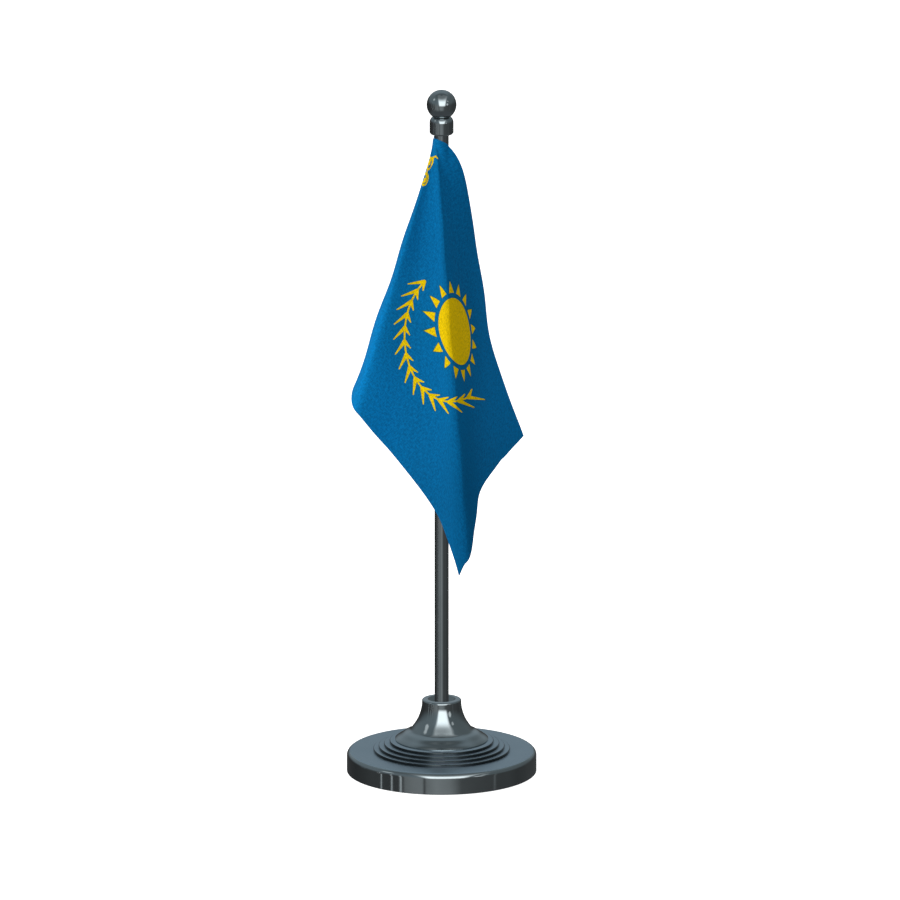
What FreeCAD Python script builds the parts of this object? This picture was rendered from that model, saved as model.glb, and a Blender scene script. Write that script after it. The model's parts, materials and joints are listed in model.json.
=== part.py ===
import FreeCAD, Part
import math
import os

# Desk flag stand: a weighted round foot with a trumpet neck, a slim pole, a collar
# with a ball finial, and a small flag hanging down the pole. Millimetres, +Z up.
# The origin is the centre of the foot pad's underside.

# Foot disc
base_radius = 53.4
base_skirt_bottom = 0.6
deck_height = 12.5
edge_round = 2.8
skirt_thickness = 2.6
deck_thickness = 2.5
step_rise = 1.5
step_radius_1 = 38.5
step_radius_2 = 35.5
step_radius_3 = 32.5
step_radius_4 = 29.3
step_nose_round = 0.6
hub_cavity_radius = 27.0

# Pad, closing plate, ballast
pad_thickness = 1.6
pad_margin = 3.6
plate_thickness = 1.2
plate_cup_radius = 8.6
plate_cup_height = 6.4
ballast_margin = 1.2
ballast_top_gap = 0.2

# Neck
neck_foot_radius = 26.2
neck_foot_lip = 0.9
neck_height = 23.8
neck_lip_radius = 11.1
neck_lip_round = 1.1
neck_mouth_radius = 7.8
neck_mouth_depth = 2.4
neck_spigot_radius = 8.0
neck_spigot_gap = 1.1
grip_ring_section = 1.0
grip_ring_below_mouth = 4.0

# Fasteners under the foot
bolt_radius = 3.0
bolt_length = 14.0
bolt_head_across_flats = 10.0
bolt_head_height = 3.4
spring_washer_thickness = 1.4
flat_washer_thickness = 1.2
flat_washer_radius = 6.0
pin_radius = 1.2
pin_length = 6.0
pin_circle_radius = 18.0

# Pole
pole_radius = 4.0
pole_wall = 0.8
pole_length = 344.4
pole_socket_depth = 17.1
bush_wall = 1.4
bush_floor = 0.8
foot_plug_length = 9.0
insert_length = 14.0

# Collar and ball
collar_radius = 6.7
collar_neck_radius = 5.0
collar_height = 9.9
collar_straight = 6.7
collar_overlap = 2.0
collar_recess_depth = 3.9
collar_foot_round = 0.9
clamp_washer_thickness = 0.7
ball_radius = 8.35
stud_radius = 2.0
stud_engagement = 8.4
stud_in_ball = 7.5

# Flag
hoist = 138.0
fly = 207.0
cloth_thickness = 0.7
cloth_tip_cut = 8.0
sleeve_thickness = 0.4
sleeve_play = 0.2
sleeve_slant = 6.5
flag_below_collar = 0.6
tab_thickness = 0.3
tab_width_deg = 56.0
tab_seat_deg = 236.0
tab_length = 4.0
seam_deg = -100.0
wrap_end_deg = 50.0
cling_length = 8.0
wrap_length = 11.5
wrap_drop = 6.5
fold_depth = 140.0
fold_plan = (
    (0.0, 0.0),
    (-13.0, 16.0),
    (-33.0, 21.0),
    (-45.0, 6.5),
    (-41.5, -11.0),
    (-16.0, -4.5),
    (4.0, -16.5),
    (8.5, -29.5),
    (11.5, -10.0),
    (14.0, 13.5),
    (24.0, 33.5),
    (33.0, 47.5),
)
top_edge_swell = 4.5
top_edge_swell_at = 42.0

# Clearances
slip = 0.05
running = 0.05
gap = 0.3
seat_gap = 0.15

# Heights that follow from the sizes above
terrace_height = deck_height + 4.0 * step_rise
rim_height = terrace_height + neck_height
neck_bore_radius = pole_radius + running + bush_wall + running
bush_outer_radius = neck_bore_radius - running
bush_bore_radius = pole_radius + running
pole_foot = rim_height - pole_socket_depth
pole_top = pole_foot + pole_length
bush_bottom = pole_foot - slip - bush_floor
bush_top = rim_height - neck_mouth_depth
plate_bottom = pad_thickness
cup_roof_bottom = plate_bottom + plate_cup_height
flat_washer_bottom = cup_roof_bottom - flat_washer_thickness
spring_washer_bottom = flat_washer_bottom - spring_washer_thickness
bolt_head_bottom = spring_washer_bottom - bolt_head_height
collar_bottom = pole_top - collar_overlap
collar_top = collar_bottom + collar_height
ball_centre = collar_top + math.sqrt((ball_radius + seat_gap) ** 2 - collar_neck_radius ** 2)
flag_top = collar_bottom - flag_below_collar
sleeve_inner_radius = pole_radius + sleeve_play
sleeve_outer_radius = sleeve_inner_radius + sleeve_thickness
cloth_start_radius = sleeve_outer_radius + 0.1 + 0.5 * cloth_thickness
collar_recess_radius = sleeve_outer_radius + slip + tab_thickness + gap

ORIGIN = FreeCAD.Vector(0, 0, 0)
UP = FreeCAD.Vector(0, 0, 1)


def at(radius, height):
    return FreeCAD.Vector(radius, 0, height)


def rounded_wire(corners):
    """Closed profile through (radius, height, rounding) corners."""
    count = len(corners)
    pieces = []
    for i in range(count):
        here = at(corners[i][0], corners[i][1])
        rounding = corners[i][2]
        if rounding == 0:
            pieces.append((here, None, here))
            continue
        before = at(corners[i - 1][0], corners[i - 1][1]) - here
        after = at(corners[(i + 1) % count][0], corners[(i + 1) % count][1]) - here
        before.normalize()
        after.normalize()
        half = before.getAngle(after) / 2.0
        reach = rounding / math.tan(half)
        bisector = before + after
        bisector.normalize()
        middle = here + bisector * (rounding / math.sin(half) - rounding)
        pieces.append((here + before * reach, middle, here + after * reach))
    edges = []
    for i in range(count):
        start, middle, end = pieces[i]
        if middle is not None:
            edges.append(Part.Arc(start, middle, end).toShape())
        following = pieces[(i + 1) % count][0]
        if end.distanceToPoint(following) > 1e-6:
            edges.append(Part.makeLine(end, following))
    return Part.Wire(edges)


def turned(corners):
    """Solid of revolution about the pole's axis."""
    return Part.Face(rounded_wire(corners)).revolve(ORIGIN, UP, 360)


def ring(inner, outer, bottom, top, rounding=0.0):
    corners = [
        (inner, bottom, 0),
        (outer, bottom, rounding),
        (outer, top, rounding),
        (inner, top, 0),
    ]
    return turned(corners)


def disc(radius, bottom, top, rounding=0.0):
    return ring(0.0, radius, bottom, top, rounding)


def pin_holes(clearance):
    """Two round pins on opposite sides of the neck's foot."""
    bottom = terrace_height - pin_length + 2.0
    holes = []
    for side in (-1, 1):
        centre = FreeCAD.Vector(0, side * pin_circle_radius, bottom)
        holes.append(Part.makeCylinder(pin_radius + clearance, pin_length + clearance, centre, UP))
    return holes


def base_shell():
    bore = neck_spigot_radius + slip
    inner = base_radius - skirt_thickness
    under_deck = deck_height - deck_thickness
    under_hub = terrace_height - deck_thickness
    corners = [
        (inner, base_skirt_bottom, 0),
        (base_radius, base_skirt_bottom, 0.3),
        (base_radius, deck_height, edge_round),
        (step_radius_1, deck_height, 0),
        (step_radius_1, deck_height + step_rise, step_nose_round),
        (step_radius_2, deck_height + step_rise, 0),
        (step_radius_2, deck_height + 2 * step_rise, step_nose_round),
        (step_radius_3, deck_height + 2 * step_rise, 0),
        (step_radius_3, deck_height + 3 * step_rise, step_nose_round),
        (step_radius_4, deck_height + 3 * step_rise, 0),
        (step_radius_4, terrace_height, step_nose_round),
        (bore, terrace_height, 0),
        (bore, under_hub, 0),
        (hub_cavity_radius, under_hub, 0),
        (hub_cavity_radius, under_deck, 0),
        (inner, under_deck, 0),
    ]
    return turned(corners).cut(pin_holes(slip))


def ballast_disc():
    bottom = plate_bottom + plate_thickness
    cup_top = cup_roof_bottom + plate_thickness
    outer = base_radius - skirt_thickness - ballast_margin
    under_deck = deck_height - deck_thickness - ballast_top_gap
    under_hub = terrace_height - deck_thickness
    hub = hub_cavity_radius - ballast_margin
    cup = plate_cup_radius + plate_thickness + 0.4
    bore = neck_spigot_radius + slip
    corners = [
        (cup, bottom, 0),
        (outer, bottom, 0.8),
        (outer, under_deck, 0.8),
        (hub, under_deck, 0),
        (hub, under_hub, 0),
        (bore, under_hub, 0),
        (bore, cup_top, 0),
        (cup, cup_top, 0),
    ]
    return turned(corners).cut(pin_holes(slip))


def bottom_plate():
    outer = base_radius - skirt_thickness - 0.2
    hole = bolt_radius + gap
    roof = cup_roof_bottom
    corners = [
        (hole, roof, 0),
        (plate_cup_radius, roof, 0),
        (plate_cup_radius, plate_bottom, 0),
        (outer, plate_bottom, 0),
        (outer, plate_bottom + plate_thickness, 0),
        (plate_cup_radius + plate_thickness, plate_bottom + plate_thickness, 0),
        (plate_cup_radius + plate_thickness, roof + plate_thickness, 0.5),
        (hole, roof + plate_thickness, 0),
    ]
    return turned(corners)


def base_pad():
    return disc(base_radius - pad_margin, 0.0, pad_thickness)


def flare_curve():
    """Trumpet outline of the neck, from the foot lip up to the straight lip."""
    span = neck_foot_radius - neck_lip_radius
    rise = neck_height - neck_lip_round - neck_foot_lip
    stations = (
        (1.000, 0.000),
        (0.940, 0.032),
        (0.790, 0.098),
        (0.610, 0.180),
        (0.437, 0.234),
        (0.364, 0.298),
        (0.200, 0.468),
        (0.093, 0.633),
        (0.024, 0.800),
        (0.000, 0.930),
        (0.000, 1.000),
    )
    points = []
    for out, up in stations:
        points.append(at(neck_lip_radius + span * out, terrace_height + neck_foot_lip + rise * up))
    curve = Part.BSplineCurve()
    curve.interpolate(points)
    return curve.toShape(), points[0], points[-1]


def neck_flare():
    flare, flare_start, flare_end = flare_curve()
    lip = neck_lip_round
    top_start = at(neck_lip_radius - lip, rim_height)
    lip_middle = at(neck_lip_radius - lip + lip * math.sin(math.pi / 4),
                    rim_height - lip + lip * math.cos(math.pi / 4))
    floor = bush_bottom - slip
    ring_seat = grip_ring_section / 2.0
    ring_height = rim_height - neck_mouth_depth - grip_ring_below_mouth
    ring_seat_radius = neck_bore_radius + grip_ring_section + slip
    spigot_bottom = cup_roof_bottom + plate_thickness + neck_spigot_gap
    thread_top = spring_washer_bottom + bolt_length + 1.0
    outline = [
        top_start,
        at(neck_mouth_radius, rim_height),
        at(neck_bore_radius + 0.5, rim_height - neck_mouth_depth),
        at(neck_bore_radius, rim_height - neck_mouth_depth - 0.5),
        at(neck_bore_radius, ring_height + ring_seat + slip),
        at(ring_seat_radius, ring_height + ring_seat + slip),
        at(ring_seat_radius, ring_height - ring_seat - slip),
        at(neck_bore_radius, ring_height - ring_seat - slip),
        at(neck_bore_radius, floor),
        at(0.0, floor),
        at(0.0, thread_top),
        at(bolt_radius + slip, thread_top),
        at(bolt_radius + slip, spigot_bottom),
        at(neck_spigot_radius, spigot_bottom),
        at(neck_spigot_radius, terrace_height),
        at(neck_foot_radius, terrace_height),
        flare_start,
    ]
    edges = [Part.makeLine(a, b) for a, b in zip(outline[:-1], outline[1:])]
    edges.append(flare)
    edges.append(Part.Arc(flare_end, lip_middle, top_start).toShape())
    solid = Part.Face(Part.Wire(edges)).revolve(ORIGIN, UP, 360)
    return solid.cut(pin_holes(slip))


def grip_ring():
    """Rubber ring let into the neck's bore, gripping the bush."""
    section = grip_ring_section
    height = rim_height - neck_mouth_depth - grip_ring_below_mouth
    inner = neck_bore_radius
    return ring(inner, inner + section, height - section / 2.0, height + section / 2.0, section * 0.3)


def hexagon_prism(across_flats, bottom, top):
    reach = across_flats / 2.0 / math.cos(math.pi / 6)
    corners = []
    for i in range(7):
        angle = i * math.pi / 3
        corners.append(FreeCAD.Vector(reach * math.cos(angle), reach * math.sin(angle), bottom))
    return Part.Face(Part.makePolygon(corners)).extrude(UP * (top - bottom))


def centre_bolt():
    head = hexagon_prism(bolt_head_across_flats, bolt_head_bottom, spring_washer_bottom)
    shank = disc(bolt_radius, spring_washer_bottom - 0.5, spring_washer_bottom + bolt_length, 0.0)
    return head.fuse(shank).removeSplitter()


def spring_washer():
    inner = bolt_radius + 0.1
    outer = bolt_radius + 2.4
    body = ring(inner, outer, spring_washer_bottom, flat_washer_bottom)
    slot = Part.makeBox(3.4, 0.6, spring_washer_thickness * 2,
                        FreeCAD.Vector(inner - 0.4, -0.3, spring_washer_bottom - 0.5))
    return body.cut(slot)


def flat_washer():
    return ring(bolt_radius + 0.2, flat_washer_radius, flat_washer_bottom, cup_roof_bottom)


def locating_pins():
    bottom = terrace_height - pin_length + 2.0
    left = Part.makeCylinder(pin_radius, pin_length, FreeCAD.Vector(0, -pin_circle_radius, bottom), UP)
    right = Part.makeCylinder(pin_radius, pin_length, FreeCAD.Vector(0, pin_circle_radius, bottom), UP)
    return left, right


def socket_bush():
    corners = [
        (0.0, bush_bottom, 0),
        (bush_outer_radius, bush_bottom, 0.4),
        (bush_outer_radius, bush_top, 0.3),
        (bush_bore_radius, bush_top, 0.3),
        (bush_bore_radius, bush_bottom + bush_floor, 0),
        (0.0, bush_bottom + bush_floor, 0),
    ]
    return turned(corners)


def pole_tube():
    return ring(pole_radius - pole_wall, pole_radius, pole_foot + 0.6, pole_top)


def foot_plug():
    inner = pole_radius - pole_wall - slip
    corners = [
        (0.0, pole_foot, 0),
        (pole_radius - 0.1, pole_foot, 0.3),
        (pole_radius - 0.1, pole_foot + 0.6, 0),
        (inner, pole_foot + 0.6, 0),
        (inner, pole_foot + foot_plug_length, 0.5),
        (0.0, pole_foot + foot_plug_length, 0),
    ]
    return turned(corners)


def top_insert():
    bore = stud_radius + running
    outer = pole_radius - pole_wall - slip
    return ring(bore, outer, pole_top - insert_length, pole_top)


def collar():
    shoulder = collar_bottom + collar_straight
    seat = ball_radius + seat_gap
    rim = at(collar_neck_radius, collar_top)
    seat_rim_height = ball_centre - math.sqrt(seat ** 2 - (collar_neck_radius - 0.5) ** 2)
    stud_bore = stud_radius + running
    seat_bore_height = ball_centre - math.sqrt(seat ** 2 - stud_bore ** 2)
    bend_radius = (stud_bore + collar_neck_radius - 0.5) / 2.0
    seat_bend = at(bend_radius, ball_centre - math.sqrt(seat ** 2 - bend_radius ** 2))
    foot = collar_foot_round
    shoulder_bulge = at((collar_radius + collar_neck_radius) / 2.0 + 0.35, (shoulder + collar_top) / 2.0 + 0.35)
    recess_top = collar_bottom + collar_recess_depth
    edges = [
        Part.makeLine(at(collar_recess_radius, collar_bottom), at(collar_radius - foot, collar_bottom)),
        Part.makeLine(at(collar_radius - foot, collar_bottom), at(collar_radius, collar_bottom + foot)),
        Part.makeLine(at(collar_radius, collar_bottom + foot), at(collar_radius, shoulder)),
        Part.Arc(at(collar_radius, shoulder), shoulder_bulge, rim).toShape(),
        Part.makeLine(rim, at(collar_neck_radius - 0.5, seat_rim_height)),
        Part.Arc(at(collar_neck_radius - 0.5, seat_rim_height), seat_bend,
                 at(stud_bore, seat_bore_height)).toShape(),
        Part.makeLine(at(stud_bore, seat_bore_height), at(stud_bore, recess_top)),
        Part.makeLine(at(stud_bore, recess_top), at(collar_recess_radius, recess_top)),
        Part.makeLine(at(collar_recess_radius, recess_top), at(collar_recess_radius, collar_bottom)),
    ]
    return Part.Face(Part.Wire(edges)).revolve(ORIGIN, UP, 360)


def clamp_washer():
    top = collar_bottom + collar_recess_depth
    return ring(stud_radius + running, collar_recess_radius - slip, top - clamp_washer_thickness, top)


def ball_finial():
    sphere = Part.makeSphere(ball_radius, FreeCAD.Vector(0, 0, ball_centre))
    hole = disc(stud_radius, ball_centre - ball_radius - 1.0, ball_centre - ball_radius + stud_in_ball)
    return sphere.cut(hole)


def ball_stud():
    return disc(stud_radius, pole_top - stud_engagement, ball_centre - ball_radius + stud_in_ball)


def smooth_step(value, low, high):
    share = min(1.0, max(0.0, (value - low) / (high - low)))
    return share * share * (3.0 - 2.0 * share)


def fold_directions():
    """Directions in which the folds fan down from the flag's top corner, against cloth angle."""
    knots = [(2 * fold_plan[0][0] - fold_plan[1][0], 2 * fold_plan[0][1] - fold_plan[1][1])]
    knots.extend(fold_plan)
    knots.append((2 * fold_plan[-1][0] - fold_plan[-2][0], 2 * fold_plan[-1][1] - fold_plan[-2][1]))
    directions = []
    for i in range(1, len(knots) - 2):
        for k in range(24):
            u = k / 24.0
            weights = (
                0.5 * (-u + 2 * u * u - u ** 3),
                0.5 * (2 - 5 * u * u + 3 * u ** 3),
                0.5 * (u + 4 * u * u - 3 * u ** 3),
                0.5 * (-u * u + u ** 3),
            )
            x = sum(weights[j] * knots[i - 1 + j][0] for j in range(4))
            y = sum(weights[j] * knots[i - 1 + j][1] for j in range(4))
            directions.append(FreeCAD.Vector(x, y, -fold_depth).normalize())
    directions.append(FreeCAD.Vector(fold_plan[-1][0], fold_plan[-1][1], -fold_depth).normalize())
    angles = [0.0]
    for a, b in zip(directions[:-1], directions[1:]):
        angles.append(angles[-1] + (b - a).Length)
    scale = 90.0 / angles[-1]
    return [a * scale for a in angles], directions


FOLD_ANGLES, FOLD_DIRECTIONS = fold_directions()


def fold_direction(angle):
    i = 0
    while i < len(FOLD_ANGLES) - 2 and FOLD_ANGLES[i + 1] < angle:
        i += 1
    share = (angle - FOLD_ANGLES[i]) / (FOLD_ANGLES[i + 1] - FOLD_ANGLES[i])
    return FOLD_DIRECTIONS[i] * (1.0 - share) + FOLD_DIRECTIONS[i + 1] * share


def cloth_point(reach, angle):
    """Hanging position of the cloth point at `reach` from the top corner, `angle` round from the hoist."""
    over = smooth_step(angle, 35.0, 90.0)
    held = smooth_step(angle, 0.0, 18.0) * (1.0 - smooth_step(angle, 32.0, 50.0))
    cling = cling_length * held + wrap_length * over
    drop = cling_length * held + wrap_drop * over
    bent = math.hypot(reach, cling)
    share = reach / bent
    turn = (wrap_end_deg - seam_deg) * smooth_step(angle, 35.0, 95.0) * share
    around = math.radians(seam_deg + turn)
    start = FreeCAD.Vector(cloth_start_radius * math.sin(around),
                           -cloth_start_radius * math.cos(around),
                           flag_top - drop * share)
    swell_reach = (reach / top_edge_swell_at) ** 2
    bulge = swell_reach * math.exp(1.0 - swell_reach)
    hollow = math.exp(-((reach - 150.0) / 40.0) ** 2)
    swell = smooth_step(angle, 62.0, 90.0) * top_edge_swell * (bulge - hollow)
    point = start + fold_direction(angle) * (bent - cling) + FreeCAD.Vector(swell, 0, 0)
    across = math.hypot(point.x, point.y)
    nearest = cloth_start_radius + 0.5 * over
    if across < nearest:
        point.x *= nearest / across
        point.y *= nearest / across
    return point


def cloth_normal(reach, angle):
    along = cloth_point(reach + 0.5, angle) - cloth_point(reach - 0.5, angle)
    across = cloth_point(reach, min(angle + 0.4, 90.0)) - cloth_point(reach, max(angle - 0.4, 0.0))
    return along.cross(across).normalize()


def cloth_skin(first_angle, last_angle, columns, side):
    """One face of the cloth between two rays from the top corner."""
    rows = 12
    grid = []
    for i in range(columns + 1):
        angle = first_angle + (last_angle - first_angle) * i / columns
        to_bottom_hem = hoist / max(math.cos(math.radians(angle)), 1e-6)
        to_fly_hem = fly / max(math.sin(math.radians(angle)), 1e-6)
        full = min(to_bottom_hem, to_fly_hem)
        row = []
        for j in range(rows + 1):
            reach = cloth_tip_cut + (full - cloth_tip_cut) * (j / rows) ** 1.4
            offset = cloth_normal(reach, angle) * (side * 0.5 * cloth_thickness)
            row.append(cloth_point(reach, angle) + offset)
        grid.append(row)
    surface = Part.BSplineSurface()
    surface.interpolate(grid)
    return surface


def cloth_panel(first_angle, last_angle, columns):
    """Thin closed panel of cloth between two rays from the top corner."""
    front = cloth_skin(first_angle, last_angle, columns, 1)
    back = cloth_skin(first_angle, last_angle, columns, -1)
    faces = [front.toShape(), back.toShape()]
    u0, u1, v0, v1 = front.bounds()
    borders = [
        (front.uIso(u0), back.uIso(u0)),
        (front.uIso(u1), back.uIso(u1)),
        (front.vIso(v0), back.vIso(v0)),
        (front.vIso(v1), back.vIso(v1)),
    ]
    for near, far in borders:
        strip = Part.makeLoft([Part.Wire(near.toShape()), Part.Wire(far.toShape())], False, True)
        faces.extend(strip.Faces)
    skin = Part.makeShell(faces)
    skin.sewShape()
    panel = Part.makeSolid(skin)
    if panel.Volume < 0:
        panel.reverse()
    return panel


def flag_cloth():
    corner_angle = math.degrees(math.atan2(fly, hoist))
    hoist_panel = cloth_panel(0.0, corner_angle, 44)
    fly_panel = cloth_panel(corner_angle, 90.0, 30)
    return hoist_panel.fuse([fly_panel], 0.02).removeSplitter()


def hoist_sleeve():
    tube = ring(sleeve_inner_radius, sleeve_outer_radius, flag_top - hoist, flag_top)
    reach = sleeve_outer_radius + 1.0
    slant = sleeve_slant * reach / sleeve_outer_radius
    outline = [
        FreeCAD.Vector(-reach, -reach, flag_top),
        FreeCAD.Vector(reach, -reach, flag_top - slant),
        FreeCAD.Vector(reach, -reach, flag_top + 1.0),
        FreeCAD.Vector(-reach, -reach, flag_top + 1.0),
        FreeCAD.Vector(-reach, -reach, flag_top),
    ]
    wedge = Part.Face(Part.makePolygon(outline)).extrude(FreeCAD.Vector(0, 2 * reach, 0))
    return tube.cut(wedge)


def hanging_tab():
    """Ribbon tab: an eye lying on the pole's end round the stud, and a strap down to the sleeve."""
    inner = sleeve_outer_radius + slip
    outer = inner + tab_thickness
    eye_bottom = pole_top + gap
    eye = ring(stud_radius + gap, outer, eye_bottom, eye_bottom + tab_thickness)
    strap_bottom = flag_top - tab_length
    wall = ring(inner, outer, strap_bottom, eye_bottom + tab_thickness)
    half = math.radians(tab_width_deg / 2.0)
    middle = math.radians(tab_seat_deg)
    far = 4.0 * outer
    wedge = Part.Face(Part.makePolygon([
        FreeCAD.Vector(0, 0, strap_bottom),
        FreeCAD.Vector(far * math.cos(middle - half), -far * math.sin(middle - half), strap_bottom),
        FreeCAD.Vector(far * math.cos(middle + half), -far * math.sin(middle + half), strap_bottom),
        FreeCAD.Vector(0, 0, strap_bottom),
    ])).extrude(UP * (pole_top + 2.0 - strap_bottom))
    return eye.fuse(wall.common(wedge)).removeSplitter()


def save(name, shape):
    shape.exportStep("parts/" + name + ".step")


os.makedirs("parts", exist_ok=True)
first_pin, second_pin = locating_pins()
save("base_shell", base_shell())
save("ballast_disc", ballast_disc())
save("bottom_plate", bottom_plate())
save("base_pad", base_pad())
save("neck_flare", neck_flare())
save("grip_ring", grip_ring())
save("centre_bolt", centre_bolt())
save("spring_washer", spring_washer())
save("flat_washer", flat_washer())
save("locating_pin_front", first_pin)
save("locating_pin_rear", second_pin)
save("socket_bush", socket_bush())
save("pole_tube", pole_tube())
save("foot_plug", foot_plug())
save("top_insert", top_insert())
save("collar", collar())
save("clamp_washer", clamp_washer())
save("ball_finial", ball_finial())
save("ball_stud", ball_stud())
save("flag_cloth", flag_cloth())
save("hoist_sleeve", hoist_sleeve())
save("hanging_tab", hanging_tab())
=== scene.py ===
import bpy
import json
import math
import numpy as np
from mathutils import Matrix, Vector


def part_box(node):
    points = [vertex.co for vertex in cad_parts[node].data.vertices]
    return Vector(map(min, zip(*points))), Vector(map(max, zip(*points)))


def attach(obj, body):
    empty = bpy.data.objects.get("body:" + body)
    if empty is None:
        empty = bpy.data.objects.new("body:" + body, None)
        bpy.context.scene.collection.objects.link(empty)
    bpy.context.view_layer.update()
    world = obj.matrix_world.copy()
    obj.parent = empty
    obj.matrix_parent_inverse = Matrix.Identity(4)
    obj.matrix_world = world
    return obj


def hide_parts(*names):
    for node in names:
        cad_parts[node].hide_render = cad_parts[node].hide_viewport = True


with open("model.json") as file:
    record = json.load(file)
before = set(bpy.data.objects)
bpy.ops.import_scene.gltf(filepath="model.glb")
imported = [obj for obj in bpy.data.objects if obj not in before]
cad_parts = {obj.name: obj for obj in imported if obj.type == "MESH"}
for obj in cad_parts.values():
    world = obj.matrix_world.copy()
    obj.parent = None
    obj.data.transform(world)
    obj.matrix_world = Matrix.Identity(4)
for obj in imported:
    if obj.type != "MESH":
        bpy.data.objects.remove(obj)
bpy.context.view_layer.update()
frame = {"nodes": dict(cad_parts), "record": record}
cadNodes = frame["nodes"]
mm = 0.001
tiny = 1e-9
scene = bpy.context.scene
print("frame loaded:", len(cadNodes), "CAD nodes")

# The camera looks a little down, from far off, through a long lens. The aim is in mm, the distance in metres.
shot = {"elevation": 13.9, "distance": 8.0, "lens": 571.4, "sensor": 36.0, "clipEnd": 100.0,
        "aimX": 4.7, "aimZ": 186.3}


def placeCamera(shot):
    data = bpy.data.cameras.new("viewCamera")
    data.type = "PERSP"
    data.lens = shot["lens"]
    data.sensor_width = shot["sensor"]
    data.clip_end = shot["clipEnd"]
    camera = bpy.data.objects.new("viewCamera", data)
    scene.collection.objects.link(camera)
    tilt = math.radians(shot["elevation"])
    aim = Vector((shot["aimX"] * mm, 0.0, shot["aimZ"] * mm))
    camera.location = aim + shot["distance"] * Vector((0.0, -math.cos(tilt), math.sin(tilt)))
    camera.rotation_euler = (math.pi / 2 - tilt, 0.0, 0.0)
    scene.camera = camera


placeCamera(shot)


# One node: its properties, the values of its free inputs, and the sockets wired into the others.
def addNode(tree, kind, settings=None, values=None, wires=None):
    made = tree.nodes.new(kind)
    for name, value in (settings or {}).items():
        setattr(made, name, value)
    for name, value in (values or {}).items():
        made.inputs[name].default_value = value
    for name, socket in (wires or {}).items():
        tree.links.new(socket, made.inputs[name])
    return made


# One Math node; each operand is a number or a socket.
def calc(tree, operation, *operands):
    made = tree.nodes.new("ShaderNodeMath")
    made.operation = operation
    for place, operand in enumerate(operands):
        if isinstance(operand, (int, float)):
            made.inputs[place].default_value = operand
        else:
            tree.links.new(operand, made.inputs[place])
    return made.outputs[0]


# One Vector Math node on two operands; each is a tuple or a socket.
def vectorCalc(tree, operation, first, second):
    made = tree.nodes.new("ShaderNodeVectorMath")
    made.operation = operation
    for place, operand in enumerate((first, second)):
        if isinstance(operand, tuple):
            made.inputs[place].default_value = operand
        else:
            tree.links.new(operand, made.inputs[place])
    return made.outputs["Value" if operation in ("DOT_PRODUCT", "DISTANCE") else "Vector"]


# A smooth 0-to-1 step as value goes from start to end; start may be above end, for a falling step.
def ease(tree, value, start, end):
    ranged = addNode(
        tree, "ShaderNodeMapRange", {"interpolation_type": "SMOOTHSTEP"},
        {"From Min": min(start, end), "From Max": max(start, end),
         "To Min": 0.0 if start < end else 1.0, "To Max": 1.0 if start < end else 0.0},
        {"Value": value})
    return ranged.outputs["Result"]


# A mix of two colours, each a tuple or a socket; share is a float or a socket.
def mixColour(tree, share, first, second, blend="MIX"):
    made = tree.nodes.new("ShaderNodeMix")
    made.data_type = "RGBA"
    made.blend_type = blend
    for place, item in ((0, share), (6, first), (7, second)):
        if isinstance(item, bpy.types.NodeSocket):
            tree.links.new(item, made.inputs[place])
        else:
            made.inputs[place].default_value = item if isinstance(item, float) else (*item, 1.0)
    return made.outputs[2]


# A node group with named inputs and outputs; fill(tree, inputs) returns the output sockets by name.
def makeGroup(name, inputs, outputs, fill):
    group = bpy.data.node_groups.new(name, "ShaderNodeTree")
    for inputName, kind, value in inputs:
        socket = group.interface.new_socket(inputName, in_out="INPUT", socket_type=kind)
        if value is not None:
            socket.default_value = value
    for outputName, kind in outputs:
        group.interface.new_socket(outputName, in_out="OUTPUT", socket_type=kind)
    start = group.nodes.new("NodeGroupInput")
    end = group.nodes.new("NodeGroupOutput")
    for outputName, socket in fill(group, start.outputs).items():
        group.links.new(socket, end.inputs[outputName])
    return group


def addGroup(tree, group, values=None, wires=None):
    return addNode(tree, "ShaderNodeGroup", {"node_tree": group}, values, wires).outputs


def newMaterial(name):
    material = bpy.data.materials.new(name)
    material.use_nodes = True
    return material, material.node_tree.nodes["Principled BSDF"]


# The studio: a pale floor and three soft lights. Lengths in metres.
studioFloor = {"radius": 12.0, "sides": 64, "colour": (0.86, 0.86, 0.86), "glow": 1.0}
softLights = {
    "keyLight": {"place": (-1.8, -1.25, 0.75), "size": 0.8, "power": 24.0, "colour": (1.0, 0.99, 0.97)},
    "sideLight": {"place": (-2.0, 0.3, 0.1), "size": 0.8, "power": 9.0, "colour": (1.0, 1.0, 1.0)},
    "fillLight": {"place": (1.6, -1.6, 0.6), "size": 1.0, "power": 3.0, "colour": (0.97, 0.99, 1.0)},
}
lightAim = (0.0, 0.0, 0.2)


def makeFloor(studioFloor):
    sides = studioFloor["sides"]
    turn = np.linspace(0, 2 * math.pi, sides, endpoint=False)
    ring = np.stack([np.cos(turn), np.sin(turn), np.zeros(sides)], -1) * studioFloor["radius"]
    mesh = bpy.data.meshes.new("studioFloor")
    mesh.from_pydata(ring.tolist(), [], [list(range(sides))])
    floor = bpy.data.objects.new("studioFloor", mesh)
    scene.collection.objects.link(floor)
    material, shader = newMaterial("paleFloor")
    shader.inputs["Base Color"].default_value = (*studioFloor["colour"], 1.0)
    shader.inputs["Roughness"].default_value = 1.0
    shader.inputs["Specular IOR Level"].default_value = 0.0
    shader.inputs["Emission Color"].default_value = (1.0, 1.0, 1.0, 1.0)
    shader.inputs["Emission Strength"].default_value = studioFloor["glow"]
    mesh.materials.append(material)
    floor.visible_glossy = False
    floor.visible_diffuse = False


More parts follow.
